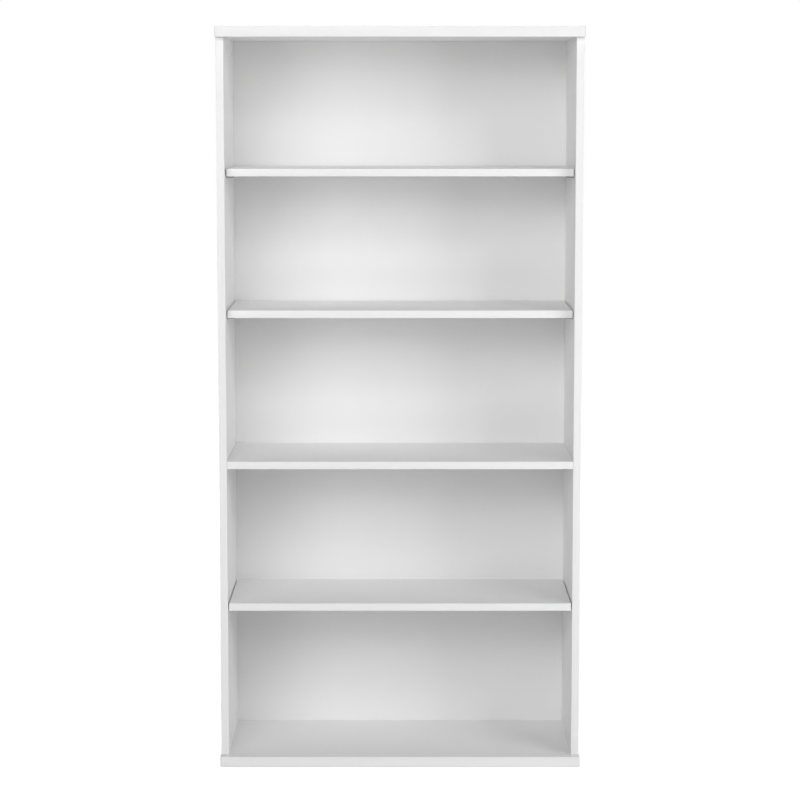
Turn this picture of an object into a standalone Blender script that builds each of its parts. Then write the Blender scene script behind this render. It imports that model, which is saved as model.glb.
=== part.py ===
"""An open bookcase, 1.85 m high, with a fixed middle shelf and three shelves that can be moved up and down.

It is built from laminated particleboard as a flat-pack case is. A top and a bottom board cap two side
boards, and cam locks, cam bolts and dowels hold the corners. The back lies in grooves, and each loose shelf
lies on four pins.

Metres, +Z up. The origin is on the floor under the middle of the case. The open front faces -Y, and left and
right are those of a person who stands in front of it, so left is -X.
"""

from math import pi

import bmesh
import bpy
from mathutils import Matrix, Vector

# Driving dimensions of the case.
WIDTH = 0.906
DEPTH = 0.390
HEIGHT = 1.851  # from the floor, with the glides
CAP_THICKNESS = 0.0254  # the top and bottom boards
BOARD_THICKNESS = 0.019  # the sides and the shelves
CAP_SIDE_OVERHANG = 0.0015
CAP_FRONT_OVERHANG = 0.022
EDGE_RADIUS = 0.0008
FIT_GAP = 0.0003  # between two pieces that touch

# The back sheet and the groove that holds it.
BACK_THICKNESS = 0.003
BACK_INSET = 0.010  # from the rear edges of the boards
BACK_ENGAGEMENT = 0.005
GROOVE_DEPTH = 0.0055

# Shelves. Each loose shelf has a group of rows of pin holes, with its own height in the middle. The loose
# shelves are alike, and the lower one is pushed forward to the fronts of the side boards.
FIXED_SHELF_UNDERSIDE = 0.7575
SHELF_UNDERSIDES = {"lower": 0.3976, "middle": 1.1335, "upper": 1.4850}
SHELF_FRONT_INSETS = {"lower": 0.001, "middle": 0.030, "upper": 0.030}
SHELF_DEPTH = 0.322
SHELF_END_GAP = 0.0025
ROW_PITCH = 0.032
ROWS_EACH_WAY = 2  # spare rows above and below

# Shelf pins: a half-round bar with a flat top and a collar, and a peg behind the collar.
PIN_FRONT_SETBACK = 0.064  # from the fronts of the side boards
PIN_REAR_SETBACK = 0.060  # from the back sheet
PIN_BAR_REACH = 0.0205  # from the side board
PIN_BAR_RADIUS = 0.0042
PIN_BAR_TIP_RADIUS = 0.0039
PIN_BAR_TIP_CHAMFER = 0.0008
PIN_COLLAR_RADIUS = 0.0056
PIN_COLLAR_THICKNESS = 0.0012
PIN_PEG_RADIUS = 0.0024
PIN_PEG_LENGTH = 0.009
PIN_PEG_CHAMFER = 0.0005
PIN_PEG_DROP = 0.0026  # from the flat top to the middle of the peg
PIN_HOLE_RADIUS = 0.0026
PIN_HOLE_DEPTH = 0.0105

# Cam joints. Distances run along a joint from its seam, where the two boards meet.
FASTENER_SETBACKS = {"front": 0.070, "rear": 0.290}  # from the front of a side board
DOWEL_SETBACK = 0.180
CAM_DISTANCE = 0.034
CAM_RADIUS = 0.0073
CAM_HEIGHT = 0.0140
CAM_BORE_RADIUS = 0.0076
CAM_BORE_DEPTH = 0.0143
CAM_HOLLOW_RADIUS = 0.0054
CAM_HOLLOW_HEIGHT = 0.0074
CAM_SLOT_HEIGHT = 0.0052
CAM_CROSS_LENGTH = 0.0078
CAM_CROSS_WIDTH = 0.0013
CAM_CROSS_DEPTH = 0.0022
BOLT_THREAD_RADIUS = 0.0028
BOLT_THREAD_LENGTH = 0.0110
BOLT_SHANK_RADIUS = 0.0034
BOLT_NECK_RADIUS = 0.0021
BOLT_HEAD_RADIUS = 0.0034
BOLT_NECK_START = 0.0252
BOLT_HEAD_START = 0.0318
BOLT_END = 0.0360
BOLT_CHAMFER = 0.0010
BOLT_PILOT_RADIUS = 0.0031
BOLT_BORE_RADIUS = 0.0040
DOWEL_RADIUS = 0.0039
DOWEL_BEYOND_SEAM = 0.011  # in the board that holds the bolts' threads
DOWEL_LENGTH = 0.030
DOWEL_CHAMFER = 0.001
DOWEL_HOLE_RADIUS = 0.0042
HOLE_END_CLEARANCE = 0.0006

# Nail-on glides under the bottom board.
GLIDE_HEIGHT = 0.002
GLIDE_RADIUS = 0.011
GLIDE_EDGE = 0.0008
GLIDE_INSET = 0.024  # from the bottom board's edges
NAIL_RADIUS = 0.0011
NAIL_LENGTH = 0.014
NAIL_HOLE_RADIUS = 0.0015

# Places that follow from the dimensions above.
CASE_FRONT = -DEPTH / 2 + CAP_FRONT_OVERHANG
CASE_REAR = DEPTH / 2
SIDE_OUTER = WIDTH / 2 - CAP_SIDE_OVERHANG
SIDE_INNER = SIDE_OUTER - BOARD_THICKNESS
SIDE_MIDDLE = (SIDE_OUTER + SIDE_INNER) / 2
BOTTOM_TOP = GLIDE_HEIGHT + CAP_THICKNESS
TOP_UNDERSIDE = HEIGHT - CAP_THICKNESS
BACK_REAR = CASE_REAR - BACK_INSET
BACK_FRONT = BACK_REAR - BACK_THICKNESS
SHELF_HALF_WIDTH = SIDE_INNER - SHELF_END_GAP

ROUND_SIDES = 12
PIN_SIDES = 14  # leaves the pin's flat top in the middle of two facets
CAM_SIDES = 20
CUT_MARGIN = 0.002  # how far a cutter stands out of the face that it enters
SIDES = {"left": -1, "right": 1}
PIN_COLUMNS = {"front": CASE_FRONT + PIN_FRONT_SETBACK, "rear": BACK_FRONT - PIN_REAR_SETBACK}


def make_material(name, colour, roughness, metallic=0.0):
    material = bpy.data.materials.new(name)
    material.use_nodes = True
    shader = material.node_tree.nodes["Principled BSDF"]
    shader.inputs["Base Color"].default_value = (*colour, 1.0)
    shader.inputs["Roughness"].default_value = roughness
    shader.inputs["Metallic"].default_value = metallic
    return material


def make_materials():
    return {
        "laminate": make_material("white_laminate", (0.86, 0.86, 0.86), 0.45),
        "hardboard": make_material("white_hardboard", (0.84, 0.84, 0.84), 0.55),
        "nickel": make_material("nickel_plated_steel", (0.34, 0.335, 0.325), 0.28, 1.0),
        "zinc": make_material("zinc_alloy", (0.56, 0.57, 0.58), 0.38, 1.0),
        "beech": make_material("beech", (0.62, 0.44, 0.27), 0.70),
        "plastic": make_material("white_plastic", (0.80, 0.80, 0.78), 0.50),
    }


def make_collection(name):
    collection = bpy.data.collections.new(name)
    bpy.context.scene.collection.children.link(collection)
    return collection


def add_object(name, mesh, collection, material=None):
    obj = bpy.data.objects.new(name, mesh)
    collection.objects.link(obj)
    if material:
        mesh.materials.append(material)
    return obj


def mesh_from(name, build):
    """A mesh made by build(bm), which adds primitives to an empty BMesh."""
    bm = bmesh.new()
    build(bm)
    mesh = bpy.data.meshes.new(name)
    bm.to_mesh(mesh)
    bm.free()
    return mesh


def loose_object(name, build):
    """An object that is only there until its mesh has been baked."""
    return add_object(name, mesh_from(name, build), bpy.context.scene.collection)


def add_box(bm, low, high):
    low, high = Vector(low), Vector(high)
    size = Matrix.Diagonal((*(high - low), 1.0))
    bmesh.ops.create_cube(bm, size=1.0, matrix=Matrix.Translation((low + high) / 2) @ size)


def add_rod(bm, start, end, radius, sides=ROUND_SIDES):
    """A capped cylinder from start to end."""
    start, end = Vector(start), Vector(end)
    turn = (end - start).to_track_quat("Z", "Y").to_matrix().to_4x4()
    bmesh.ops.create_cone(
        bm,
        cap_ends=True,
        segments=sides,
        radius1=radius,
        radius2=radius,
        depth=(end - start).length,
        matrix=Matrix.Translation((start + end) / 2) @ turn,
    )


def shade_round(mesh):
    mesh.shade_smooth()
    mesh.set_sharp_from_angle(angle=pi / 5)


def turned_object(name, profile, sides=ROUND_SIDES):
    """A solid of revolution about Z. The profile's points are (radius, height), from the top down."""
    obj = loose_object(name, lambda bm: add_outline(bm, profile))
    screw = obj.modifiers.new("Turn", "SCREW")
    screw.steps = screw.render_steps = sides
    screw.use_merge_vertices = True
    screw.merge_threshold = 0.00001
    return obj


def add_outline(bm, profile):
    corners = [bm.verts.new((radius, 0.0, height)) for radius, height in profile]
    for first, second in zip(corners, corners[1:]):
        bm.edges.new((first, second))


def baked_mesh(obj, helpers=()):
    """The object's mesh with its modifiers applied. The object and its helpers are removed."""
    graph = bpy.context.evaluated_depsgraph_get()
    mesh = bpy.data.meshes.new_from_object(obj.evaluated_get(graph))
    mesh.name = obj.name
    for used in (obj, *helpers):
        bpy.data.objects.remove(used)
    shade_round(mesh)
    return mesh


def add_boolean(obj, other, operation):
    modifier = obj.modifiers.new(operation.title(), "BOOLEAN")
    modifier.operation = operation
    modifier.object = other


def add_helper(name, build, helpers):
    """A hidden object that only cuts or joins others."""
    helper = add_object(name, mesh_from(name, build), helpers)
    helper.hide_render = True
    helper.display_type = "WIRE"
    return helper


class Board:
    """A board with softened edges, and the holes and grooves that are cut in it."""

    def __init__(self, name, low, high):
        self.name = name
        self.low = low
        self.high = high
        self.cuts = {"holes": [], "cam_bores": [], "grooves": []}

    def drill(self, start, direction, depth, radius, kind="holes", sides=ROUND_SIDES):
        """A round hole that enters at start and runs along direction."""
        direction = Vector(direction)
        mouth = Vector(start) - direction * CUT_MARGIN
        end = Vector(start) + direction * depth
        self.cuts[kind].append(lambda bm: add_rod(bm, mouth, end, radius, sides))

    def groove(self, low, high):
        self.cuts["grooves"].append(lambda bm: add_box(bm, low, high))

    def make(self, collection, helpers, material):
        low, high = Vector(self.low), Vector(self.high)
        middle = (low + high) / 2
        mesh = mesh_from(self.name, lambda bm: add_box(bm, low - middle, high - middle))
        obj = add_object(self.name, mesh, collection, material)
        obj.location = middle
        soften = obj.modifiers.new("Edges", "BEVEL")
        soften.width = EDGE_RADIUS
        soften.segments = 2
        for kind, cuts in self.cuts.items():
            if cuts:
                cutter = add_helper(f"{self.name}_{kind}", lambda bm: run_all(cuts, bm), helpers)
                add_boolean(obj, cutter, "DIFFERENCE")
        return obj


def run_all(steps, bm):
    for step in steps:
        step(bm)


def make_boards():
    """The boards of the case and the shelves, not yet drilled."""
    side_low, side_high = BOTTOM_TOP + FIT_GAP, TOP_UNDERSIDE - FIT_GAP
    boards = {
        "bottom": Board(
            "bottom_panel", (-WIDTH / 2, -DEPTH / 2, GLIDE_HEIGHT), (WIDTH / 2, DEPTH / 2, BOTTOM_TOP)
        ),
        "top": Board(
            "top_panel", (-WIDTH / 2, -DEPTH / 2, TOP_UNDERSIDE), (WIDTH / 2, DEPTH / 2, HEIGHT)
        ),
        "left": Board(
            "left_side_panel", (-SIDE_OUTER, CASE_FRONT, side_low), (-SIDE_INNER, CASE_REAR, side_high)
        ),
        "right": Board(
            "right_side_panel", (SIDE_INNER, CASE_FRONT, side_low), (SIDE_OUTER, CASE_REAR, side_high)
        ),
        "fixed": Board(
            "fixed_shelf",
            (-SIDE_INNER + FIT_GAP, CASE_FRONT, FIXED_SHELF_UNDERSIDE),
            (SIDE_INNER - FIT_GAP, BACK_FRONT - FIT_GAP, FIXED_SHELF_UNDERSIDE + BOARD_THICKNESS),
        ),
    }
    for level, underside in SHELF_UNDERSIDES.items():
        front = CASE_FRONT + SHELF_FRONT_INSETS[level]
        boards[level] = Board(
            f"{level}_adjustable_shelf",
            (-SHELF_HALF_WIDTH, front, underside),
            (SHELF_HALF_WIDTH, front + SHELF_DEPTH, underside + BOARD_THICKNESS),
        )
    return boards


def cut_back_grooves(boards):
    front, rear = BACK_FRONT - FIT_GAP, BACK_REAR + FIT_GAP
    reach = SIDE_INNER + GROOVE_DEPTH
    for side, sign in SIDES.items():
        inner, outer = sorted((sign * (SIDE_INNER - CUT_MARGIN), sign * reach))
        boards[side].groove((inner, front, 0.0), (outer, rear, HEIGHT))
    boards["bottom"].groove(
        (-reach, front, BOTTOM_TOP - GROOVE_DEPTH), (reach, rear, BOTTOM_TOP + CUT_MARGIN)
    )
    boards["top"].groove(
        (-reach, front, TOP_UNDERSIDE - CUT_MARGIN), (reach, rear, TOP_UNDERSIDE + GROOVE_DEPTH)
    )


def make_back(collection, material):
    half_width = SIDE_INNER + BACK_ENGAGEMENT
    low = (-half_width, BACK_FRONT, BOTTOM_TOP - BACK_ENGAGEMENT)
    high = (half_width, BACK_REAR, TOP_UNDERSIDE + BACK_ENGAGEMENT)
    sheet = mesh_from("back_panel", lambda bm: add_box(bm, low, high))
    add_object("back_panel", sheet, collection, material)


def board_joints():
    """Each joint of two boards: its name, the seam's x and z, the way from the seam to the cams, the way the
    cams face, the board that holds the bolts' threads, and the board that holds the cams."""
    up, down = Vector((0, 0, 1)), Vector((0, 0, -1))
    shelf_middle = FIXED_SHELF_UNDERSIDE + BOARD_THICKNESS / 2
    for side, sign in SIDES.items():
        inward = Vector((-sign, 0, 0))
        yield f"top_{side}", (sign * SIDE_MIDDLE, TOP_UNDERSIDE), down, inward, "top", side
        yield f"bottom_{side}", (sign * SIDE_MIDDLE, BOTTOM_TOP), up, inward, "bottom", side
        yield f"shelf_{side}", (sign * SIDE_INNER, shelf_middle), inward, down, side, "fixed"


def cam_mesh():
    """A cam lock. Its face is at the origin and looks along +Z, and its slot opens to -X."""
    bolt_depth = BOARD_THICKNESS / 2
    long, short = CAM_CROSS_LENGTH / 2, CAM_CROSS_WIDTH / 2

    def disc(bm):
        add_rod(bm, (0, 0, -CAM_HEIGHT), (0, 0, 0), CAM_RADIUS, CAM_SIDES)

    def hollow(bm):
        half = CAM_HOLLOW_HEIGHT / 2
        add_rod(bm, (0, 0, -bolt_depth - half), (0, 0, -bolt_depth + half), CAM_HOLLOW_RADIUS)

    def slot(bm):
        reach, half = CAM_RADIUS + CUT_MARGIN, CAM_SLOT_HEIGHT / 2
        add_box(bm, (-reach, -reach, -bolt_depth - half), (0, reach, -bolt_depth + half))

    def cross_bar(bm):
        add_box(bm, (-long, -short, -CAM_CROSS_DEPTH), (long, short, CUT_MARGIN))

    def cross_arm(bm):
        add_box(bm, (-short, -long, -CAM_CROSS_DEPTH), (short, long, CUT_MARGIN))

    cam = loose_object("cam_lock", disc)
    cutters = [loose_object(cut.__name__, cut) for cut in (hollow, slot, cross_bar, cross_arm)]
    for cutter in cutters:
        add_boolean(cam, cutter, "DIFFERENCE")
    return baked_mesh(cam, cutters)


def bolt_mesh():
    """A cam bolt. Its thread points down from the seam at the origin, and its head is up in the cam."""
    profile = (
        (0.0, BOLT_END),
        (BOLT_HEAD_RADIUS, BOLT_END - BOLT_CHAMFER),
        (BOLT_HEAD_RADIUS, BOLT_HEAD_START + BOLT_CHAMFER),
        (BOLT_NECK_RADIUS, BOLT_HEAD_START),
        (BOLT_NECK_RADIUS, BOLT_NECK_START),
        (BOLT_SHANK_RADIUS, BOLT_NECK_START - BOLT_CHAMFER),
        (BOLT_SHANK_RADIUS, FIT_GAP),
        (BOLT_THREAD_RADIUS, FIT_GAP),
        (BOLT_THREAD_RADIUS, BOLT_THREAD_RADIUS - BOLT_THREAD_LENGTH),
        (0.0, -BOLT_THREAD_LENGTH),
    )
    return baked_mesh(turned_object("cam_bolt", profile))


def dowel_mesh():
    top = DOWEL_LENGTH - DOWEL_BEYOND_SEAM
    bottom = -DOWEL_BEYOND_SEAM
    narrow = DOWEL_RADIUS - DOWEL_CHAMFER
    profile = (
        (0.0, top),
        (narrow, top),
        (DOWEL_RADIUS, top - DOWEL_CHAMFER),
        (DOWEL_RADIUS, bottom + DOWEL_CHAMFER),
        (narrow, bottom),
        (0.0, bottom),
    )
    return baked_mesh(turned_object("dowel", profile))


def glide_mesh():
    """A glide that stands on the floor, with its nail pointing up."""
    top = GLIDE_HEIGHT - FIT_GAP
    nail_end = GLIDE_HEIGHT + NAIL_LENGTH
    profile = (
        (0.0, nail_end),
        (NAIL_RADIUS / 3, nail_end),
        (NAIL_RADIUS, nail_end - 3 * NAIL_RADIUS),
        (NAIL_RADIUS, top),
        (GLIDE_RADIUS, top),
        (GLIDE_RADIUS, GLIDE_EDGE),
        (GLIDE_RADIUS - GLIDE_EDGE, 0.0),
        (0.0, 0.0),
    )
    return baked_mesh(turned_object("glide", profile))


def pin_mesh():
    """A shelf pin. The side board's face is z = 0, the bar points along +Z, and the shelf lies on x = 0."""
    collar_face = FIT_GAP + PIN_COLLAR_THICKNESS
    bar_profile = (
        (0.0, PIN_BAR_REACH),
        (PIN_BAR_TIP_RADIUS - PIN_BAR_TIP_CHAMFER, PIN_BAR_REACH),
        (PIN_BAR_TIP_RADIUS, PIN_BAR_REACH - PIN_BAR_TIP_CHAMFER),
        (PIN_BAR_RADIUS, collar_face),
        (PIN_COLLAR_RADIUS, collar_face),
        (PIN_COLLAR_RADIUS, FIT_GAP),
        (0.0, FIT_GAP),
    )
    peg_profile = (
        (0.0, collar_face - FIT_GAP),
        (PIN_PEG_RADIUS, collar_face - FIT_GAP),
        (PIN_PEG_RADIUS, PIN_PEG_CHAMFER - PIN_PEG_LENGTH),
        (PIN_PEG_RADIUS - PIN_PEG_CHAMFER, -PIN_PEG_LENGTH),
        (0.0, -PIN_PEG_LENGTH),
    )

    def upper_half(bm):
        width = 2 * PIN_COLLAR_RADIUS
        add_box(bm, (0, -width, -CUT_MARGIN), (width, width, PIN_BAR_REACH + CUT_MARGIN))

    pin = turned_object("shelf_pin", bar_profile, PIN_SIDES)
    above = loose_object("above_the_flat", upper_half)
    add_boolean(pin, above, "DIFFERENCE")
    peg = turned_object("peg", peg_profile)
    peg.location.x = -PIN_PEG_DROP
    add_boolean(pin, peg, "UNION")
    return baked_mesh(pin, [above, peg])


def turned_to(z_axis, x_axis):
    """The rotation that carries Z and X to the given axes."""
    z_axis, x_axis = Vector(z_axis), Vector(x_axis)
    return Matrix((x_axis, z_axis.cross(x_axis), z_axis)).transposed().to_4x4()


def place(name, mesh, at, rotation, collection, material):
    obj = bpy.data.objects.new(name, mesh)
    obj.matrix_world = Matrix.Translation(at) @ rotation
    collection.objects.link(obj)
    if not mesh.materials:
        mesh.materials.append(material)
    return obj


def fit_board_joints(boards, collection, materials):
    """Two cams with their bolts, and a dowel between them, in each joint of two boards."""
    cam, bolt, dowel = cam_mesh(), bolt_mesh(), dowel_mesh()
    bolt_pilot_depth = BOLT_THREAD_LENGTH + HOLE_END_CLEARANCE
    bolt_bore_depth = CAM_DISTANCE - CAM_BORE_RADIUS / 2
    dowel_pilot_depth = DOWEL_BEYOND_SEAM + HOLE_END_CLEARANCE
    dowel_bore_depth = DOWEL_LENGTH - DOWEL_BEYOND_SEAM + HOLE_END_CLEARANCE
    for name, (x, z), to_cams, cam_face, thread_board, cam_board in board_joints():
        threads, cams = boards[thread_board], boards[cam_board]
        along_joint = turned_to(to_cams, cam_face)
        for end, setback in FASTENER_SETBACKS.items():
            seam = Vector((x, CASE_FRONT + setback, z))
            cam_mouth = seam + to_cams * CAM_DISTANCE + cam_face * BOARD_THICKNESS / 2
            cam_seat = cam_mouth - cam_face * FIT_GAP
            threads.drill(seam, -to_cams, bolt_pilot_depth, BOLT_PILOT_RADIUS)
            cams.drill(seam, to_cams, bolt_bore_depth, BOLT_BORE_RADIUS)
            cams.drill(cam_mouth, -cam_face, CAM_BORE_DEPTH, CAM_BORE_RADIUS, "cam_bores", CAM_SIDES)
            place(f"cam_bolt_{name}_{end}", bolt, seam, along_joint, collection, materials["zinc"])
            cam_turn = turned_to(cam_face, to_cams)
            place(f"cam_lock_{name}_{end}", cam, cam_seat, cam_turn, collection, materials["zinc"])
        seam = Vector((x, CASE_FRONT + DOWEL_SETBACK, z))
        threads.drill(seam, -to_cams, dowel_pilot_depth, DOWEL_HOLE_RADIUS)
        cams.drill(seam, to_cams, dowel_bore_depth, DOWEL_HOLE_RADIUS)
        place(f"dowel_{name}", dowel, seam, along_joint, collection, materials["beech"])


def fit_shelf_pins(boards, collection, material):
    """Bores the rows of holes, and puts four pins in each shelf's home row."""
    pin = pin_mesh()
    for side, sign in SIDES.items():
        facing = turned_to((-sign, 0, 0), (0, 0, 1))
        for column, y in PIN_COLUMNS.items():
            for level, underside in SHELF_UNDERSIDES.items():
                at = Vector((sign * SIDE_INNER, y, underside - FIT_GAP))
                for row in range(-ROWS_EACH_WAY, ROWS_EACH_WAY + 1):
                    hole = at + Vector((0, 0, row * ROW_PITCH - PIN_PEG_DROP))
                    boards[side].drill(hole, (sign, 0, 0), PIN_HOLE_DEPTH, PIN_HOLE_RADIUS)
                place(f"{level}_{side}_{column}_pin", pin, at, facing, collection, material)


def fit_glides(boards, collection, material):
    glide = glide_mesh()
    places = {"front": GLIDE_INSET - DEPTH / 2, "rear": DEPTH / 2 - GLIDE_INSET}
    for side, sign in SIDES.items():
        for end, y in places.items():
            at = Vector((sign * (WIDTH / 2 - GLIDE_INSET), y, 0.0))
            nail_hole = at + Vector((0, 0, GLIDE_HEIGHT))
            boards["bottom"].drill(nail_hole, (0, 0, 1), NAIL_LENGTH + HOLE_END_CLEARANCE, NAIL_HOLE_RADIUS)
            place(f"glide_{side}_{end}", glide, at, Matrix.Identity(4), collection, material)


def main():
    for obj in list(bpy.data.objects):
        bpy.data.objects.remove(obj)
    bookcase = make_collection("bookcase")
    helpers = make_collection("cutters")
    materials = make_materials()
    boards = make_boards()
    cut_back_grooves(boards)
    make_back(bookcase, materials["hardboard"])
    fit_board_joints(boards, bookcase, materials)
    fit_shelf_pins(boards, bookcase, materials["nickel"])
    fit_glides(boards, bookcase, materials["plastic"])
    for board in boards.values():
        board.make(bookcase, helpers, materials["laminate"])


main()
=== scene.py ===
"""The finished look of the bookcase, laid over its CAD frame.

Each board is made as the real one is: a core of particleboard, a sheet of white laminate on each face, and
strips of white edging. Shelf pins, glides and the back are made again in finer detail, and plastic caps
cover the cam locks. Metres, +Z up, and the open front faces -Y.
"""

from math import cos, pi, radians, sin

import bmesh
import bpy
from mathutils import Matrix, Vector


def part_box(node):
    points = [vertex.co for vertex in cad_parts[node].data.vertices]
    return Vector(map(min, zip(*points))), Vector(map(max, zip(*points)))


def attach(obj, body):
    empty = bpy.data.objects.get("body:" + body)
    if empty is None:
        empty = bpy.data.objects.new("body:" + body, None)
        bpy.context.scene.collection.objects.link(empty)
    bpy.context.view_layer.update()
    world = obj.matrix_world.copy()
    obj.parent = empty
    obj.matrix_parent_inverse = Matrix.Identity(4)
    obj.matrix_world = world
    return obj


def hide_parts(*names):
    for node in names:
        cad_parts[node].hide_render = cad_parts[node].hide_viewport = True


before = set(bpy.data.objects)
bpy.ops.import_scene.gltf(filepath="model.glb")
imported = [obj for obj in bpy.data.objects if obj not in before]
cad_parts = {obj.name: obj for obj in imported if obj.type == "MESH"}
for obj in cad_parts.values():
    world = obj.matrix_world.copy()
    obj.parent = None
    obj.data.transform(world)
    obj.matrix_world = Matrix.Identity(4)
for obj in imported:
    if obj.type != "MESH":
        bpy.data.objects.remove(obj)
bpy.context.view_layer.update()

# Boards.
LAMINATE = 0.0003
BAND = 0.001
BAND_ROUND = 0.0008
BAND_STEPS = 4
HAIRLINE = 0.0001  # the bevel on each side of a seam
CHIP_BEND = 0.002  # how far the outlines of the core's chips wander

# Bores. A bore stands a little off what it holds.
FIT_GAP = 0.0003
BORE_END_GAP = 0.0006
PIN_HOLE_RADIUS = 0.0026
PIN_HOLE_DEPTH = 0.0105
ROW_PITCH = 0.032
ROWS_EACH_WAY = 2
HOLE_SIDES = 24
CUT_MARGIN = 0.002

# The back: a painted coat on hardboard, which is never quite flat. Its waves turn in radians a metre.
COAT = 0.0002
BACK_CELL = 0.05
BACK_WAVE = 0.0002
WAVE_ACROSS = 5.1
WAVE_UP = 3.7
WAVE_START = 0.7  # radians
WAVE_SWAY = 0.4  # radians
SWAY_ACROSS = 9.0

# Shelf pins: a half-round bar with a flat top, a collar, and a ringed peg.
PIN_BAR_RADIUS = 0.0042
PIN_TIP_RADIUS = 0.0039
PIN_TIP_ROUND = 0.0016
PIN_COLLAR_RADIUS = 0.0056
PIN_COLLAR_FACE = 0.0015  # from the side board
PIN_COLLAR_ROUND = 0.0003
PIN_FLAT_ROUND = 0.00015
PIN_PEG_RADIUS = 0.0024
PIN_PEG_LENGTH = 0.009
PIN_PEG_ROUND = 0.0006
PIN_PEG_DROP = 0.0026  # from the flat top to the middle of the peg
PIN_RING_DEPTH = 0.0002
PIN_RING_PITCH = 0.0014
PIN_RINGS = 4

# Caps over the cam locks.
CAP_RADIUS = 0.0085
CAP_RIM = 0.0007
CAP_CROWN = 0.0011
CAP_ROUND = 0.0004
CAP_STEM_RADIUS = 0.0006
CAP_STEM_LENGTH = 0.0019

# Glides.
GLIDE_ROUND = 0.0009
NAIL_RADIUS = 0.0011
NAIL_POINT = 3 * NAIL_RADIUS
NAIL_SEAT = 0.0006  # from the floor

# How finely round stretches are made.
TURNED_SIDES = 48
SMALL_TURNED_SIDES = 28
ROUND_STEPS = 6
SMOOTH_ANGLE = pi / 9
MERGE_DISTANCE = 0.00001

SIDES = {"left": -1, "right": 1}
ENDS = ("front", "rear")
LEVELS = ("lower", "middle", "upper")
JOINTS = ("top", "bottom", "shelf")

UP = Vector((0, 0, 1))


# Meshes.


def add_box(bm, low, high):
    low, high = Vector(low), Vector(high)
    size = Matrix.Diagonal((*(high - low), 1.0))
    bmesh.ops.create_cube(bm, size=1.0, matrix=Matrix.Translation((low + high) / 2) @ size)


def add_rod(bm, start, end, radius):
    start, end = Vector(start), Vector(end)
    turn = (end - start).to_track_quat("Z", "Y").to_matrix().to_4x4()
    bmesh.ops.create_cone(
        bm,
        cap_ends=True,
        segments=HOLE_SIDES,
        radius1=radius,
        radius2=radius,
        depth=(end - start).length,
        matrix=Matrix.Translation((start + end) / 2) @ turn,
    )


def object_from(name, build):
    """An object whose mesh is made by build(bm) from an empty BMesh."""
    bm = bmesh.new()
    build(bm)
    mesh = bpy.data.meshes.new(name)
    bm.to_mesh(mesh)
    bm.free()
    obj = bpy.data.objects.new(name, mesh)
    bpy.context.scene.collection.objects.link(obj)
    return obj


def bake(obj):
    """Applies the object's modifiers, and shades its round stretches smooth."""
    graph = bpy.context.evaluated_depsgraph_get()
    mesh = bpy.data.meshes.new_from_object(obj.evaluated_get(graph))
    obj.modifiers.clear()
    obj.data = mesh
    mesh.shade_smooth()
    mesh.set_sharp_from_angle(angle=SMOOTH_ANGLE)
    return obj


def combine(obj, other, operation):
    """Cuts the other object out of this one, or joins the two, and removes the other."""
    modifier = obj.modifiers.new(operation, "BOOLEAN")
    modifier.operation = operation
    modifier.object = other
    bake(obj)
    bpy.data.objects.remove(other)
    return obj


def turned(name, profile, sides):
    """A solid of revolution about Z. The profile's points are (radius, height), from the top down."""

    def outline(bm):
        corners = [bm.verts.new((radius, 0.0, height)) for radius, height in profile]
        for first, second in zip(corners, corners[1:]):
            bm.edges.new((first, second))

    obj = object_from(name, outline)
    screw = obj.modifiers.new("Turn", "SCREW")
    screw.steps = screw.render_steps = sides
    screw.use_merge_vertices = True
    screw.merge_threshold = MERGE_DISTANCE
    return bake(obj)


def rounded(corner, radius, start, end):
    """Points on a quarter round about corner, from the start angle to the end angle in degrees."""
    for step in range(ROUND_STEPS + 1):
        angle = radians(start + (end - start) * step / ROUND_STEPS)
        yield corner[0] + radius * cos(angle), corner[1] + radius * sin(angle)


# Materials.


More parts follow.
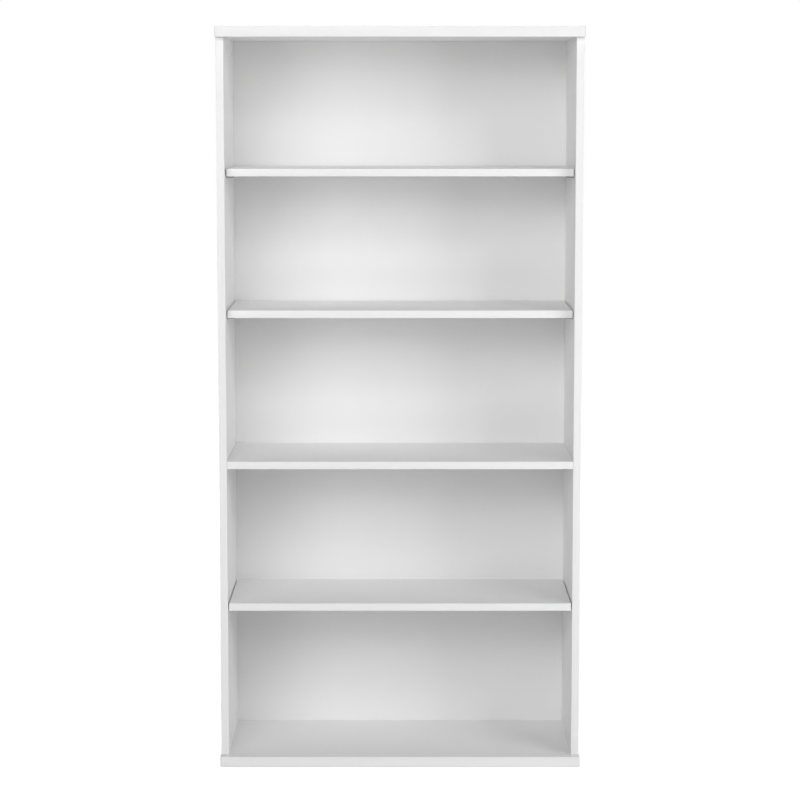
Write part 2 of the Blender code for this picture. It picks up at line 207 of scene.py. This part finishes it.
class Nodes:
    """A new material with its Principled shader, and short ways to add nodes to it."""

    def __init__(self, name, colour, roughness, metallic=0.0):
        self.material = bpy.data.materials.new(name)
        self.material.use_nodes = True
        self.tree = self.material.node_tree
        self.shader = self.tree.nodes["Principled BSDF"]
        self.shader.inputs["Base Color"].default_value = (*colour, 1.0)
        self.shader.inputs["Roughness"].default_value = roughness
        self.shader.inputs["Metallic"].default_value = metallic
        self.place = self.tree.nodes.new("ShaderNodeTexCoord").outputs["Object"]

    def add(self, kind, **inputs):
        node = self.tree.nodes.new(kind)
        for name, value in inputs.items():
            self.set(node, name.replace("_", " "), value)
        return node

    def set(self, node, name, value):
        if isinstance(value, bpy.types.NodeSocket):
            self.tree.links.new(value, node.inputs[name])
        else:
            node.inputs[name].default_value = value

    def stretched(self, scale):
        """Object coordinates, drawn out along the axes where scale is small."""
        mapping = self.add("ShaderNodeMapping", Vector=self.place)
        mapping.inputs["Scale"].default_value = scale
        return mapping.outputs["Vector"]

    def noise(self, scale, detail=2.0, roughness=0.5, vector=None):
        return self.add(
            "ShaderNodeTexNoise",
            Vector=vector or self.place,
            Scale=scale,
            Detail=detail,
            Roughness=roughness,
        ).outputs["Fac"]

    def spread(self, value, low, high, from_low=0.3, from_high=0.7):
        """Carries a value's middle range to low...high."""
        node = self.add("ShaderNodeMapRange", Value=value)
        node.inputs["From Min"].default_value = from_low
        node.inputs["From Max"].default_value = from_high
        node.inputs["To Min"].default_value = low
        node.inputs["To Max"].default_value = high
        return node.outputs["Result"]

    def colours(self, value, *stops):
        """A colour for each value, from (position, colour) stops."""
        ramp = self.add("ShaderNodeValToRGB", Fac=value)
        elements = ramp.color_ramp.elements
        while len(elements) < len(stops):
            elements.new(0.5)
        for element, (position, colour) in zip(elements, stops):
            element.position = position
            element.color = (*colour, 1.0)
        return ramp.outputs["Color"]

    def bump(self, height, distance, under=None):
        """A relief of that depth, laid over the one under it."""
        node = self.add("ShaderNodeBump", Height=height, Distance=distance, Strength=1.0)
        if under:
            self.set(node, "Normal", under)
        return node.outputs["Normal"]

    def finish(self, colour, roughness=None, normal=None):
        """Links what varies over the surface to the shader, and returns the material."""
        for name, value in (("Base Color", colour), ("Roughness", roughness), ("Normal", normal)):
            if value:
                self.tree.links.new(value, self.shader.inputs[name])
        return self.material


def white_laminate():
    """Melamine: even white, with a fine pebble that was pressed into it and a slightly cloudy gloss."""
    nodes = Nodes("white_laminate", (0.867, 0.867, 0.867), 0.42)
    nodes.shader.inputs["Specular IOR Level"].default_value = 0.35
    cloud = nodes.noise(2.5, detail=3.0)
    pebble = nodes.noise(1400.0, detail=1.0)
    fleck = nodes.noise(420.0, detail=2.0)
    colour = nodes.colours(fleck, (0.30, (0.860, 0.860, 0.859)), (0.70, (0.874, 0.874, 0.873)))
    roughness = nodes.spread(cloud, 0.38, 0.48)
    normal = nodes.bump(pebble, 0.00003, under=nodes.bump(cloud, 0.0004))
    return nodes.finish(colour, roughness, normal)


def white_edge_band():
    """Plastic edging: smoother than the laminate, with the faint lines of its rolling along the strip."""
    nodes = Nodes("white_edge_band", (0.865, 0.865, 0.865), 0.36)
    lines = nodes.noise(1.0, detail=2.0, vector=nodes.stretched((40.0, 900.0, 40.0)))
    grain = nodes.noise(900.0, detail=1.0)
    colour = nodes.colours(grain, (0.3, (0.858, 0.858, 0.857)), (0.7, (0.872, 0.872, 0.871)))
    roughness = nodes.spread(lines, 0.32, 0.42)
    normal = nodes.bump(grain, 0.00002, under=nodes.bump(lines, 0.00004))
    return nodes.finish(colour, roughness, normal)


def white_hardboard():
    """The painted face of the back: a thin coat over hardboard, so it keeps some of the board's fibre."""
    nodes = Nodes("white_hardboard", (0.872, 0.872, 0.872), 0.5)
    fibre = nodes.noise(260.0, detail=5.0, roughness=0.65)
    wave = nodes.noise(1.6, detail=2.0)
    colour = nodes.colours(fibre, (0.25, (0.864, 0.864, 0.863)), (0.75, (0.880, 0.880, 0.879)))
    roughness = nodes.spread(fibre, 0.46, 0.56)
    normal = nodes.bump(fibre, 0.00005, under=nodes.bump(wave, 0.0006))
    return nodes.finish(colour, roughness, normal)


def raw_hardboard():
    """The bare rear of the back: brown felted fibre, with the print of the screen it was pressed on."""
    nodes = Nodes("raw_hardboard", (0.25, 0.14, 0.07), 0.8)
    fibre = nodes.noise(700.0, detail=4.0, roughness=0.7)
    blotch = nodes.noise(9.0, detail=4.0, roughness=0.6)
    tone = nodes.add("ShaderNodeMath", Value=fibre)
    tone.operation = "ADD"
    nodes.tree.links.new(blotch, tone.inputs[1])
    colour = nodes.colours(
        nodes.spread(tone.outputs["Value"], 0.0, 1.0, 0.75, 1.25),
        (0.0, (0.226, 0.127, 0.064)),
        (0.5, (0.247, 0.141, 0.073)),
        (1.0, (0.270, 0.158, 0.083)),
    )
    screen = nodes.add("ShaderNodeTexVoronoi", Vector=nodes.place, Scale=620.0, Randomness=0.0)
    normal = nodes.bump(screen.outputs["Distance"], 0.00012, under=nodes.bump(fibre, 0.0001))
    return nodes.finish(colour, nodes.spread(fibre, 0.72, 0.9), normal)


def raw_particleboard():
    """The bare core: pressed chips from straw to brown, with dark flecks of bark and small pits between."""
    nodes = Nodes("raw_particleboard", (0.50, 0.36, 0.21), 0.85)
    bent = nodes.add("ShaderNodeVectorMath")
    bent.operation = "MULTIPLY_ADD"
    warp = nodes.add("ShaderNodeTexNoise", Vector=nodes.place, Scale=300.0)
    nodes.tree.links.new(warp.outputs["Color"], bent.inputs[0])
    bent.inputs[1].default_value = (CHIP_BEND,) * 3
    nodes.tree.links.new(nodes.place, bent.inputs[2])
    chips = nodes.add("ShaderNodeTexVoronoi", Vector=bent.outputs["Vector"], Scale=520.0)
    tone = nodes.add("ShaderNodeSeparateColor", Color=chips.outputs["Color"]).outputs["Red"]
    colour = nodes.colours(
        tone,
        (0.00, (0.160, 0.090, 0.045)),
        (0.12, (0.380, 0.250, 0.135)),
        (0.55, (0.540, 0.395, 0.230)),
        (1.00, (0.700, 0.560, 0.370)),
    )
    normal = nodes.bump(chips.outputs["Distance"], 0.0002)
    return nodes.finish(colour, nodes.spread(tone, 0.75, 0.95, 0.0, 1.0), normal)


def nickel_plated_steel():
    """Nickel plating over a drawn bar, its colour darkened as painted shade for the shadow and dark
    reflection under the shelves: fine lines along it, and a dulled patch here and there.
    """
    nodes = Nodes("nickel_plated_steel", (0.34, 0.335, 0.325), 0.28, metallic=1.0)
    lines = nodes.noise(1.0, detail=3.0, vector=nodes.stretched((150.0, 4000.0, 4000.0)))
    patch = nodes.noise(350.0, detail=2.0)
    colour = nodes.colours(patch, (0.3, (0.29, 0.285, 0.275)), (0.7, (0.37, 0.365, 0.355)))
    roughness = nodes.spread(patch, 0.22, 0.38)
    return nodes.finish(colour, roughness, nodes.bump(lines, 0.00002))


def zinc_alloy():
    """Die-cast zinc: grey, with a grainy skin."""
    nodes = Nodes("zinc_alloy", (0.56, 0.57, 0.58), 0.4, metallic=1.0)
    skin = nodes.noise(1800.0, detail=3.0)
    patch = nodes.noise(260.0, detail=2.0)
    colour = nodes.colours(patch, (0.3, (0.46, 0.47, 0.48)), (0.7, (0.62, 0.63, 0.64)))
    return nodes.finish(colour, nodes.spread(patch, 0.34, 0.5), nodes.bump(skin, 0.00004))


def beech():
    """Dowel stock: straight grain with the short dark ticks of beech."""
    nodes = Nodes("beech", (0.56, 0.38, 0.21), 0.6)
    grain = nodes.noise(1.0, detail=4.0, vector=nodes.stretched((900.0, 900.0, 60.0)))
    ticks = nodes.noise(1.0, detail=0.0, vector=nodes.stretched((2600.0, 2600.0, 420.0)))
    colour = nodes.colours(
        grain, (0.25, (0.42, 0.25, 0.13)), (0.5, (0.56, 0.38, 0.21)), (0.75, (0.66, 0.48, 0.29))
    )
    return nodes.finish(colour, nodes.spread(grain, 0.55, 0.7), nodes.bump(ticks, 0.00008))


def white_plastic():
    """Moulded plastic with a spark-eroded texture."""
    nodes = Nodes("white_plastic", (0.82, 0.82, 0.81), 0.45)
    skin = nodes.noise(2200.0, detail=1.0)
    tone = nodes.noise(160.0, detail=2.0)
    colour = nodes.colours(tone, (0.3, (0.80, 0.80, 0.79)), (0.7, (0.84, 0.84, 0.83)))
    return nodes.finish(colour, nodes.spread(tone, 0.4, 0.5), nodes.bump(skin, 0.00003))


MATERIALS = {
    "white_laminate": white_laminate(),
    "white_edge_band": white_edge_band(),
    "white_hardboard": white_hardboard(),
    "raw_hardboard": raw_hardboard(),
    "raw_particleboard": raw_particleboard(),
    "nickel_plated_steel": nickel_plated_steel(),
    "zinc_alloy": zinc_alloy(),
    "beech": beech(),
    "white_plastic": white_plastic(),
}


def add_piece(piece, body, slot):
    """The piece takes its finish from the record's slot, and rides on its body."""
    piece.data.materials.clear()
    piece.data.materials.append(MATERIALS[slot])
    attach(piece, body)


# Boards.


EDGES = {"left": (0, -1), "right": (0, 1), "front": (1, -1), "rear": (1, 1)}


def slab(name, low, high):
    """A layer of a board, with its edges broken by a hairline."""
    obj = object_from(name, lambda bm: add_box(bm, low, high))
    edges = obj.modifiers.new("Edges", "BEVEL")
    edges.width = HAIRLINE
    edges.segments = 1
    return bake(obj)


def band(name, low, high, axis, sign):
    """A strip of edging whose outward face looks along the axis. Its outer corners are rounded."""

    def build(bm):
        add_box(bm, low, high)
        outer = max(sign * vert.co[axis] for vert in bm.verts)
        at_outer = {vert for vert in bm.verts if sign * vert.co[axis] > outer - BAND / 2}
        round_edges = [edge for edge in bm.edges if at_outer.issuperset(edge.verts)]
        bmesh.ops.bevel(
            bm, geom=round_edges, offset=BAND_ROUND, segments=BAND_STEPS, profile=0.5, affect="EDGES"
        )

    return bake(object_from(name, build))


def take_band(low, high, edge):
    """Takes a band's width off one edge of the box from low to high, and returns the box of the band."""
    axis, sign = EDGES[edge]
    band_low, band_high = low.copy(), high.copy()
    if sign < 0:
        low[axis] += BAND
        band_high[axis] = low[axis]
    else:
        high[axis] -= BAND
        band_low[axis] = high[axis]
    return band_low, band_high


def layers_of(low, high, axis):
    """The layers of a board along its thickness: each one's name, box and record slot."""
    sheet, thickness = Vector((0, 0, 0)), Vector((0, 0, 0))
    sheet[axis] = LAMINATE
    thickness[axis] = high[axis] - low[axis]
    yield "core", low + sheet, high - sheet, "raw_particleboard"
    yield "low_face", low, high - thickness + sheet, "white_laminate"
    yield "high_face", low + thickness - sheet, high, "white_laminate"


def make_board(node, body, thickness_axis, banded, cuts=()):
    """A board in place of its CAD node: a core, two sheets of laminate, and a band on each banded edge."""
    low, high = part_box(node)
    for edge in banded:
        strip = band(f"{node}_{edge}_band", *take_band(low, high, edge), *EDGES[edge])
        add_piece(strip, body, "white_edge_band")
    for layer, layer_low, layer_high, slot in layers_of(low, high, thickness_axis):
        piece = slab(f"{node}_{layer}", layer_low, layer_high)
        if cuts:
            combine(piece, object_from("cutter", lambda bm: run_all(cuts, bm)), "DIFFERENCE")
        add_piece(piece, body, slot)
        if layer == "core":
            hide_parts(node)


def run_all(steps, bm):
    for step in steps:
        step(bm)


def rod_cut(start, end, radius):
    return lambda bm: add_rod(bm, start, end, radius)


def box_cut(low, high):
    return lambda bm: add_box(bm, low, high)


def around(node):
    """A bore round a turned CAD node: its two ends and its radius."""
    low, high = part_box(node)
    size = high - low
    # Two of its sizes are alike, and its axis is along the third.
    axis = max(range(3), key=lambda index: abs(size[index] - sorted(size)[1]))
    middle = (low + high) / 2
    start, end = middle.copy(), middle.copy()
    start[axis] = low[axis] - BORE_END_GAP
    end[axis] = high[axis] + BORE_END_GAP
    across = max(size[index] for index in range(3) if index != axis)
    return start, end, across / 2 + FIT_GAP


def fastener_nodes(joint):
    """The CAD nodes that hold one board's two joints together."""
    for side in SIDES:
        for end in ENDS:
            yield f"cam_lock_{joint}_{side}_{end}"
            yield f"cam_bolt_{joint}_{side}_{end}"
        yield f"dowel_{joint}_{side}"


def side_face(side):
    """Where the inner face of a side board is, on X."""
    low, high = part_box(f"{side}_side_panel")
    return high.x if SIDES[side] < 0 else low.x


def pin_hole_cuts(side):
    """The rows of pin holes in a side board, found from the pins that stand in their home rows."""
    sign = SIDES[side]
    face = side_face(side)
    for level in LEVELS:
        for end in ENDS:
            low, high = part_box(f"{level}_{side}_{end}_pin")
            home = Vector((face, (low.y + high.y) / 2, high.z - PIN_PEG_DROP))
            for row in range(-ROWS_EACH_WAY, ROWS_EACH_WAY + 1):
                hole = home + UP * row * ROW_PITCH
                start, end_point = hole.copy(), hole.copy()
                start.x -= sign * CUT_MARGIN
                end_point.x += sign * PIN_HOLE_DEPTH
                yield rod_cut(start, end_point, PIN_HOLE_RADIUS)


def fastener_cuts(joint, sides=SIDES):
    """The bores for a joint's fasteners at the given sides."""
    for node in fastener_nodes(joint):
        if any(f"_{side}" in node for side in sides):
            yield rod_cut(*around(node))


def nail_hole(side, end):
    """Where a glide's nail goes into the bottom board: the hole's two ends and its radius."""
    low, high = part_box(f"glide_{side}_{end}")
    middle = (low + high) / 2
    start, end_point = middle.copy(), middle.copy()
    start.z = low.z
    end_point.z = high.z + FIT_GAP
    return start, end_point, NAIL_RADIUS + FIT_GAP


def back_groove_cut():
    """The groove that holds the back, a little larger than the back all round."""
    low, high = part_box("back_panel")
    room = Vector((FIT_GAP,) * 3)
    return box_cut(low - room, high + room)


def make_boards():
    groove = back_groove_cut()
    make_board("top_panel", "case", 2, ("left", "right", "front"), [groove, *fastener_cuts("top")])
    nail_holes = [rod_cut(*nail_hole(side, end)) for side in SIDES for end in ENDS]
    bottom_cuts = [groove, *fastener_cuts("bottom"), *nail_holes]
    make_board("bottom_panel", "case", 2, ("left", "right", "front"), bottom_cuts)
    for side in SIDES:
        cuts = [groove, *pin_hole_cuts(side)]
        for joint in JOINTS:
            cuts.extend(fastener_cuts(joint, [side]))
        make_board(f"{side}_side_panel", "case", 0, ("front",), cuts)
    make_board("fixed_shelf", "case", 2, ("front",), list(fastener_cuts("shelf")))
    for level in LEVELS:
        make_board(f"{level}_adjustable_shelf", f"{level}_shelf", 2, EDGES)


make_boards()


# Back.


def back_wave(x, z):
    """How far the back stands out of its plane there."""
    sway = WAVE_SWAY * sin(SWAY_ACROSS * x)
    return BACK_WAVE * sin(WAVE_ACROSS * x + WAVE_START) * sin(WAVE_UP * z + sway)


def back_sheet(name, low, high):
    """A thin upright sheet with a slight wave in it."""

    def build(bm):
        across = round((high.x - low.x) / BACK_CELL)
        up = round((high.z - low.z) / BACK_CELL)
        grid = bmesh.ops.create_grid(bm, x_segments=across, y_segments=up, size=0.5)
        for vert in grid["verts"]:
            x = low.x + (vert.co.x + 0.5) * (high.x - low.x)
            z = low.z + (vert.co.y + 0.5) * (high.z - low.z)
            vert.co = (x, low.y + back_wave(x, z), z)

    sheet = object_from(name, build)
    thicken = sheet.modifiers.new("Thickness", "SOLIDIFY")
    thicken.thickness = high.y - low.y
    thicken.offset = -1.0
    return bake(sheet)


def make_back():
    low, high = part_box("back_panel")
    seam = low.y + COAT
    sheet = back_sheet("back_sheet", Vector((low.x, seam, low.z)), high)
    coat = back_sheet("back_coat", low, Vector((high.x, seam, high.z)))
    add_piece(sheet, "case", "raw_hardboard")
    add_piece(coat, "case", "white_hardboard")
    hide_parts("back_panel")


make_back()


# Shelf pins.


def pin_bar(reach):
    """The bar while it is still round, with its collar."""
    fillet = PIN_COLLAR_ROUND
    profile = [
        (0.0, reach),
        *rounded((PIN_TIP_RADIUS - PIN_TIP_ROUND, reach - PIN_TIP_ROUND), PIN_TIP_ROUND, 90, 0),
        *rounded((PIN_BAR_RADIUS + fillet, PIN_COLLAR_FACE + fillet), fillet, 180, 270),
        *rounded((PIN_COLLAR_RADIUS - fillet, PIN_COLLAR_FACE - fillet), fillet, 90, 0),
        *rounded((PIN_COLLAR_RADIUS - fillet, FIT_GAP + fillet), fillet, 0, -90),
        (0.0, FIT_GAP),
    ]
    return turned("pin_bar", profile, TURNED_SIDES)


def pin_peg():
    """The peg, with the rings that grip the hole."""
    tip = -PIN_PEG_LENGTH + PIN_PEG_ROUND
    profile = [(0.0, PIN_COLLAR_FACE - FIT_GAP), (PIN_PEG_RADIUS, PIN_COLLAR_FACE - FIT_GAP)]
    for ring in range(1, PIN_RINGS + 1):
        height = -ring * PIN_RING_PITCH
        profile.append((PIN_PEG_RADIUS, height + 2 * PIN_RING_DEPTH))
        profile.append((PIN_PEG_RADIUS - PIN_RING_DEPTH, height + PIN_RING_DEPTH))
        profile.append((PIN_PEG_RADIUS - PIN_RING_DEPTH, height))
        profile.append((PIN_PEG_RADIUS, height - PIN_RING_DEPTH))
    profile.extend(rounded((PIN_PEG_RADIUS - PIN_PEG_ROUND, tip), PIN_PEG_ROUND, 0, -90))
    profile.append((0.0, -PIN_PEG_LENGTH))
    return turned("pin_peg", profile, SMALL_TURNED_SIDES)


def pin_mesh(reach):
    """A pin whose bar points along +Z. The shelf lies on x = 0, and the side board's face is z = 0."""

    def upper_half(bm):
        width = 2 * PIN_COLLAR_RADIUS
        add_box(bm, (0, -width, -CUT_MARGIN), (width, width, reach + CUT_MARGIN))

    pin = combine(pin_bar(reach), object_from("upper_half", upper_half), "DIFFERENCE")
    soften = pin.modifiers.new("Flat", "BEVEL")
    soften.width = PIN_FLAT_ROUND
    soften.segments = 2
    soften.limit_method = "ANGLE"
    soften.angle_limit = pi / 4
    bake(pin)
    peg = pin_peg()
    peg.location.x = -PIN_PEG_DROP
    combine(pin, peg, "UNION")
    mesh = pin.data
    bpy.data.objects.remove(pin)
    return mesh


def pin_reach():
    """How far a pin reaches into the case from the side board's face."""
    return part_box("lower_left_front_pin")[1].x - side_face("left")


def make_pins():
    mesh = pin_mesh(pin_reach())
    for side, sign in SIDES.items():
        inward = Vector((-sign, 0, 0))
        turn = Matrix((UP, inward.cross(UP), inward)).transposed().to_4x4()
        face = side_face(side)
        for level in LEVELS:
            for end in ENDS:
                node = f"{level}_{side}_{end}_pin"
                low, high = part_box(node)
                pin = bpy.data.objects.new(f"{node}_steel", mesh)
                pin.matrix_world = Matrix.Translation((face, (low.y + high.y) / 2, high.z)) @ turn
                bpy.context.scene.collection.objects.link(pin)
                add_piece(pin, node, "nickel_plated_steel")
                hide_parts(node)


make_pins()


# Cam locks with their caps, and the hidden fasteners.


def cap_mesh():
    """A pushed-in cap. The board's face is z = 0, and its stem points down into the cam's cross."""
    profile = [
        (0.0, CAP_CROWN),
        (CAP_RADIUS / 2, CAP_CROWN - (CAP_CROWN - CAP_RIM) / 4),  # on the crown's parabola
        *rounded((CAP_RADIUS - CAP_ROUND, CAP_RIM - CAP_ROUND), CAP_ROUND, 90, 0),
        (CAP_RADIUS, 0.0),
        (CAP_STEM_RADIUS, 0.0),
        (CAP_STEM_RADIUS, -CAP_STEM_LENGTH),
        (0.0, -CAP_STEM_LENGTH),
    ]
    cap = turned("cap", profile, TURNED_SIDES)
    mesh = cap.data
    bpy.data.objects.remove(cap)
    return mesh


def make_caps():
    mesh = cap_mesh()
    for joint in JOINTS:
        for side, sign in SIDES.items():
            for end in ENDS:
                low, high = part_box(f"cam_lock_{joint}_{side}_{end}")
                at = (low + high) / 2
                if joint == "shelf":
                    at.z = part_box("fixed_shelf")[0].z
                    outward = -UP
                else:
                    at.x = side_face(side)
                    outward = Vector((-sign, 0, 0))
                turn = outward.to_track_quat("Z", "Y").to_matrix().to_4x4()
                cap = bpy.data.objects.new(f"cam_cap_{joint}_{side}_{end}", mesh)
                cap.matrix_world = Matrix.Translation(at) @ turn
                bpy.context.scene.collection.objects.link(cap)
                add_piece(cap, "case", "white_plastic")


def finish_fasteners():
    """The CAD solids of the hidden fasteners stay, and take their looks here."""
    for joint in JOINTS:
        for node in fastener_nodes(joint):
            slot = "beech" if node.startswith("dowel") else "zinc_alloy"
            for material_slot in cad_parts[node].material_slots:
                material_slot.material = MATERIALS[slot]


make_caps()
finish_fasteners()


# Glides.


def glide_pad(name, radius, top):
    profile = [
        (0.0, NAIL_SEAT),
        (NAIL_RADIUS, NAIL_SEAT),
        (NAIL_RADIUS, top),
        (radius, top),
        *rounded((radius - GLIDE_ROUND, GLIDE_ROUND), GLIDE_ROUND, 0, -90),
        (0.0, 0.0),
    ]
    return turned(name, profile, TURNED_SIDES)


def glide_nail(name, tip):
    profile = [
        (0.0, tip),
        (NAIL_RADIUS, tip - NAIL_POINT),
        (NAIL_RADIUS, NAIL_SEAT),
        (0.0, NAIL_SEAT),
    ]
    return turned(name, profile, SMALL_TURNED_SIDES)


def make_glides():
    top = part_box("bottom_panel")[0].z - FIT_GAP
    for side in SIDES:
        for end in ENDS:
            node = f"glide_{side}_{end}"
            low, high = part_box(node)
            pad = glide_pad(f"{node}_pad", (high.x - low.x) / 2, top)
            nail = glide_nail(f"{node}_nail", high.z)
            for piece in (pad, nail):
                piece.location = ((low.x + high.x) / 2, (low.y + high.y) / 2, 0.0)
            add_piece(pad, "case", "white_plastic")
            add_piece(nail, "case", "nickel_plated_steel")
            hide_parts(node)


make_glides()


# Camera.


CAMERA_PLACE = (0.0, -6.196, 1.6375)
CAMERA_TILT = 6.685  # degrees below level
CAMERA_LENS = 109.67  # millimetres


def make_camera():
    """In front of the case and above its middle, looking slightly down at it."""
    camera = bpy.data.objects.new("camera", bpy.data.cameras.new("camera"))
    bpy.context.scene.collection.objects.link(camera)
    camera.data.lens = CAMERA_LENS
    camera.location = CAMERA_PLACE
    camera.rotation_euler = (pi / 2 - radians(CAMERA_TILT), 0.0, 0.0)
    bpy.context.scene.camera = camera


make_camera()


# Floor and light.


STUDIO_CENTRE = Vector((0.0, 0.0, 0.93))
AMBIENT = 0.11
BACKDROP = 1.0  # as bright as the picture's white
FLOOR_SIZE = 40.0
FLOOR_CELLS = 8
FLOOR_GLOW = 0.55  # near the case
FAR_FLOOR_GLOW = 0.9
GLOW_START = 1.2  # from the middle of the floor
GLOW_END = 4.5

# Soft round lights. Each has its azimuth from the front and its elevation in degrees, then its distance,
# width and power.
LIGHTS = {
    "key": (-10, 25, 6.0, 2.5, 94),
    "left_fill": (-30, 10, 6.0, 2.5, 69),
    "right_key": (35, 30, 6.0, 0.9, 34),
    "right_fill": (45, 10, 6.0, 0.9, 18),
    "right_side": (55, 20, 3.5, 1.5, 19),
    "right_low": (55, 0, 3.5, 1.5, 12),
    "rear": (180, 50, 6.0, 2.5, 130),
    "left_side": (-100, 5, 6.0, 2.5, 25),
}


def seen_by_camera(tree):
    """1 where the camera looks straight at a surface, and 0 for the light that it sends on."""
    return tree.nodes.new("ShaderNodeLightPath").outputs["Is Camera Ray"]


def make_floor():
    """A pale floor that runs into the white backdrop. Its glow shows to the camera but lights nothing."""

    def plane(bm):
        bmesh.ops.create_grid(bm, x_segments=FLOOR_CELLS, y_segments=FLOOR_CELLS, size=FLOOR_SIZE)

    floor = object_from("floor", plane)
    nodes = Nodes("pale_floor", (0.9, 0.9, 0.9), 0.8)
    cloud = nodes.noise(0.8, detail=3.0)
    colour = nodes.colours(cloud, (0.3, (0.89, 0.89, 0.89)), (0.7, (0.91, 0.91, 0.91)))
    distance = nodes.add("ShaderNodeVectorMath", Vector=nodes.place)
    distance.operation = "LENGTH"
    glow = nodes.spread(distance.outputs["Value"], FLOOR_GLOW, FAR_FLOOR_GLOW, GLOW_START, GLOW_END)
    shown = nodes.add("ShaderNodeMapRange", Value=seen_by_camera(nodes.tree))
    nodes.set(shown, "To Max", glow)
    nodes.set(nodes.shader, "Emission Strength", shown.outputs["Result"])
    nodes.set(nodes.shader, "Emission Color", (1.0, 1.0, 1.0, 1.0))
    floor.data.materials.append(nodes.finish(colour))


def make_world():
    """A white backdrop, which lights the case only dimly."""
    world = bpy.data.worlds.new("studio")
    bpy.context.scene.world = world
    world.use_nodes = True
    tree = world.node_tree
    strength = tree.nodes.new("ShaderNodeMapRange")
    strength.inputs["To Min"].default_value = AMBIENT
    strength.inputs["To Max"].default_value = BACKDROP
    tree.links.new(seen_by_camera(tree), strength.inputs["Value"])
    tree.nodes["Background"].inputs["Color"].default_value = (1.0, 1.0, 1.0, 1.0)
    tree.links.new(strength.outputs["Result"], tree.nodes["Background"].inputs["Strength"])


def make_light(name, azimuth, elevation, distance, width, power):
    """A round light that points at the middle of the case, and that the camera doesn't see."""
    light = bpy.data.objects.new(name, bpy.data.lights.new(name, "AREA"))
    bpy.context.scene.collection.objects.link(light)
    light.data.shape = "DISK"
    light.data.size = width
    light.data.energy = power
    across, up = radians(azimuth), radians(elevation)
    outward = Vector((sin(across) * cos(up), -cos(across) * cos(up), sin(up)))
    light.location = STUDIO_CENTRE + distance * outward
    light.rotation_euler = outward.to_track_quat("Z", "Y").to_euler()
    light.visible_camera = False


make_floor()
make_world()
for light_name, setting in LIGHTS.items():
    make_light(light_name, *setting)

bpy.context.scene.view_settings.view_transform = "Standard"
